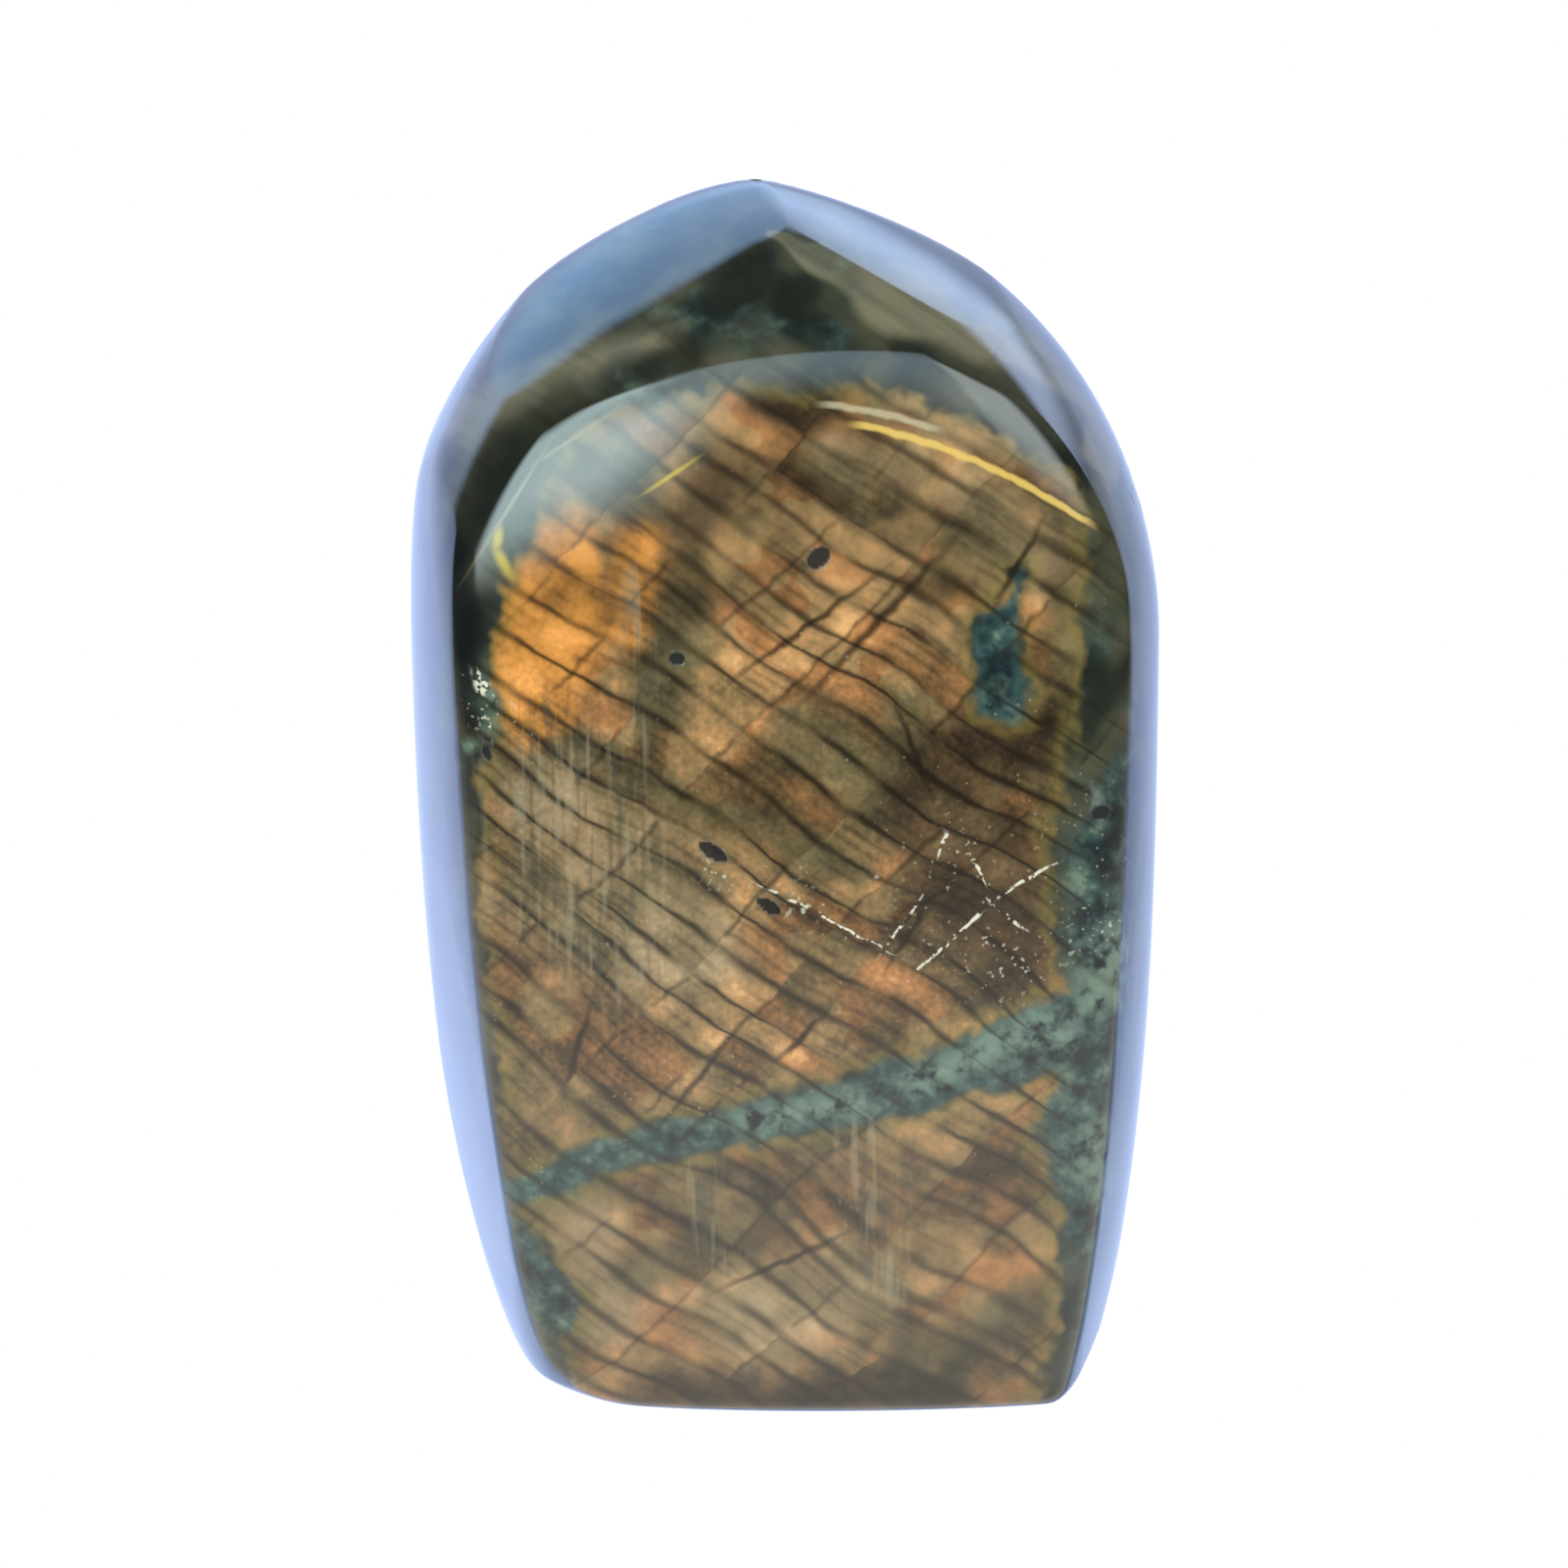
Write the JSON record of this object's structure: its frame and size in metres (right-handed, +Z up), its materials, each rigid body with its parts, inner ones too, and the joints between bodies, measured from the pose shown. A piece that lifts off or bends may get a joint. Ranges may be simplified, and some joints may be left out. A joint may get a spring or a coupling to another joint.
{
  "type": "polished labradorite free-form",
  "caption": "Polished labradorite free-form stone with a pointed arch outline, a broad flat front with copper flash and a flat sawn base to stand on.",
  "frame": {"origin": "centre of the stone's footprint box, on the plane of the flat sawn base", "axes": "+Z up along the stone's height, the broad polished front faces -Y, +X to the right as seen from the front"},
  "size_m": [0.0612, 0.0386, 0.0977],
  "materials": {
    "labradorite": "polished, glossy, with a copper and teal flash below the surface"
  },
  "bodies": {
    "root": {"stone": "labradorite"}
  },
  "joints": []
}
